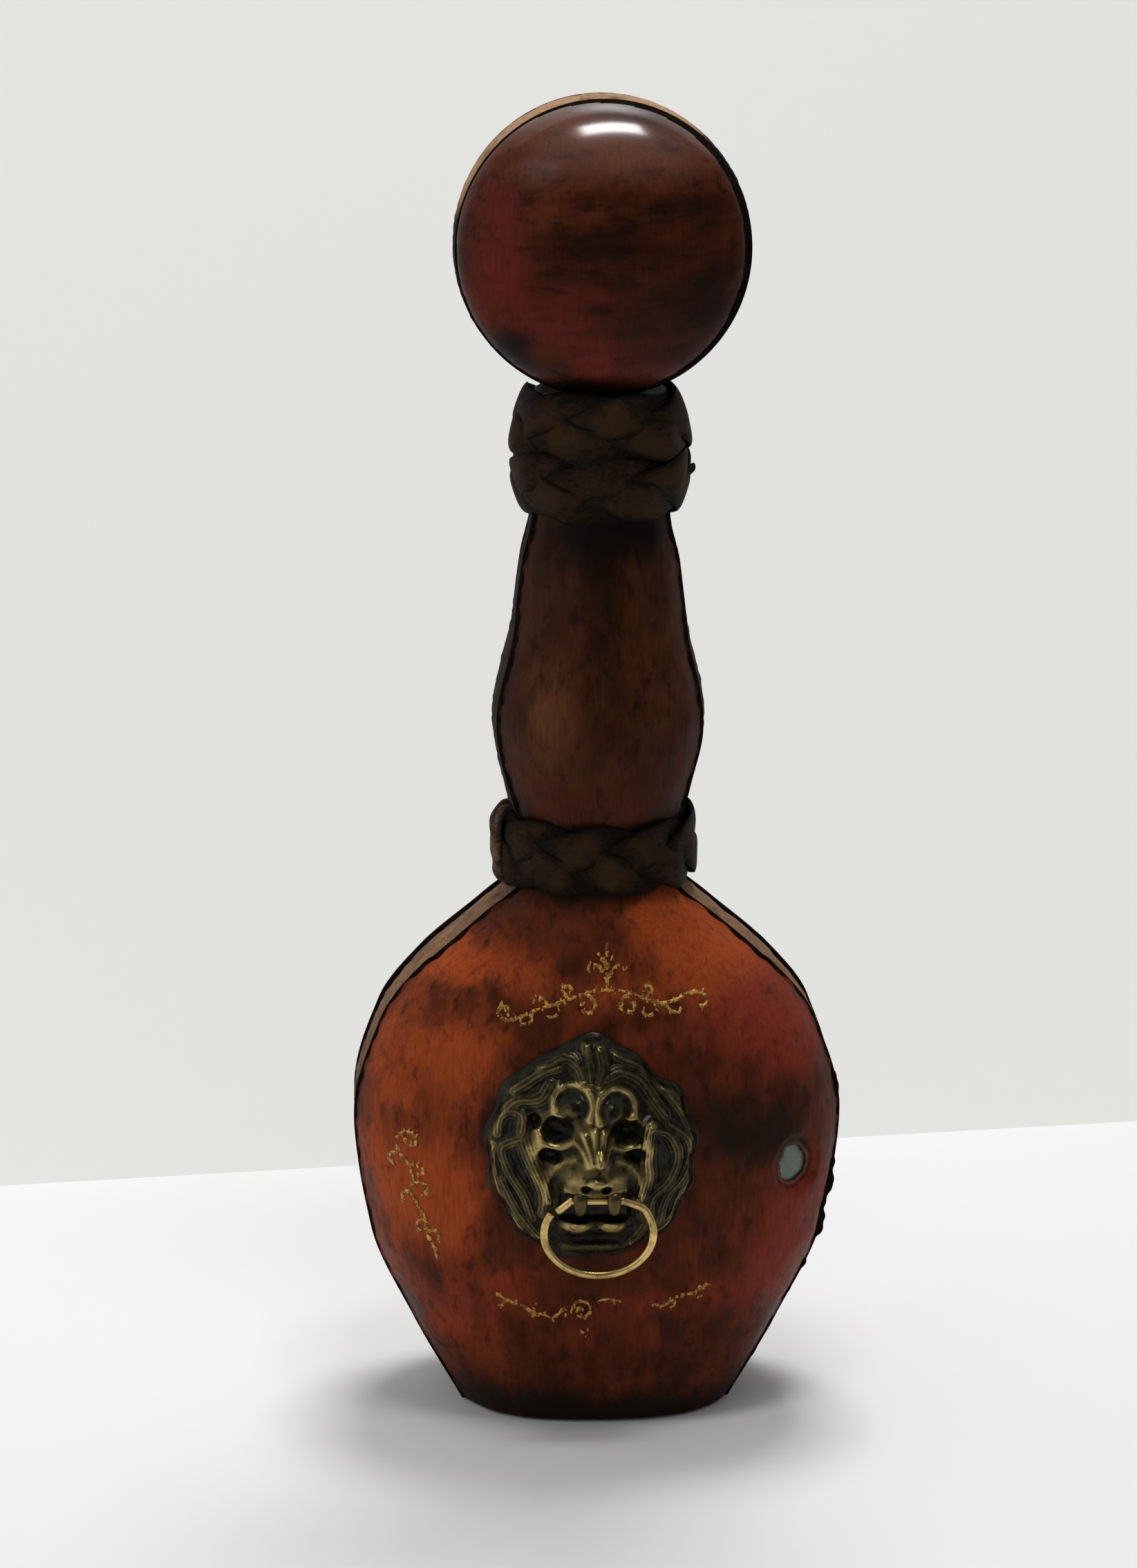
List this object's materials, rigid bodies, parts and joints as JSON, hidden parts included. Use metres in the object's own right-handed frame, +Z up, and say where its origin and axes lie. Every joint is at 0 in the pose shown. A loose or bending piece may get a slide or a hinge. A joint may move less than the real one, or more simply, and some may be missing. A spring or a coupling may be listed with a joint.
{
  "type": "leather-wrapped bottle",
  "caption": "Flattened glass decanter covered in dyed leather, with plaited leather collars on the neck, a disc stopper and a brass lion mask holding a pull ring.",
  "frame": {"origin": "centre of the base pad's underside, on the table", "axes": "+Z up along the bottle, front with the lion mask facing -Y, +X to the right seen from the front"},
  "size_m": [0.1198, 0.0942, 0.3226],
  "materials": {
    "red_leather": "hand-dyed red-brown hide with dark antique mottling, waxed",
    "neck_leather": "hand-dyed dark brown hide, waxed",
    "stopper_leather": "hand-dyed dark red hide, polished",
    "raw_leather": "undyed tan hide",
    "rim_leather": "undyed tan hide, darkened at the edges",
    "plait_leather": "dark brown strips, matt",
    "keeper_leather": "brown strip, worn",
    "dark_leather": "black-dyed hide",
    "green_glass": "pale green bottle glass",
    "dark_brass": "cast brass, darkened in the hollows and rubbed bright on the ridges",
    "bright_brass": "polished brass wire",
    "beech": "turned beech",
    "cork": "natural cork"
  },
  "bodies": {
    "bottle": {"glass_bottle": "green_glass", "base_pad": "dark_leather", "body_front_panel": "red_leather", "body_back_panel": "red_leather", "body_left_strip": "raw_leather", "body_right_strip": "raw_leather", "neck_front_panel": "neck_leather", "neck_back_panel": "neck_leather", "neck_left_strip": "raw_leather", "neck_right_strip": "raw_leather", "plait_keeper": "keeper_leather", "lion_mask": "dark_brass", "lower_plait_strand_1": "plait_leather", "upper_plait_bottom_strand_1": "plait_leather", "upper_plait_top_strand_1": "plait_leather", "lower_plait_strand_2": "plait_leather", "upper_plait_bottom_strand_2": "plait_leather", "upper_plait_top_strand_2": "plait_leather", "lower_plait_strand_3": "plait_leather", "upper_plait_bottom_strand_3": "plait_leather", "upper_plait_top_strand_3": "plait_leather"},
    "stopper": {"stopper_core": "beech", "stopper_cork": "cork", "stopper_flange": "dark_leather", "stopper_front_disc": "stopper_leather", "stopper_back_disc": "stopper_leather", "stopper_rim_strip": "rim_leather"},
    "ring": {"pull_ring": "bright_brass"}
  },
  "joints": [
    {"name": "stopper_pull", "type": "slide", "parent": "bottle", "child": "stopper", "axis": [0, 0, 1], "range_m": [0, 0.06]},
    {"name": "ring_swing", "type": "hinge", "parent": "bottle", "child": "ring", "pos_m": [-0.00185, -0.04931, 0.0648], "axis": [-1, 0, 0], "range_deg": [-12, 90]}
  ]
}
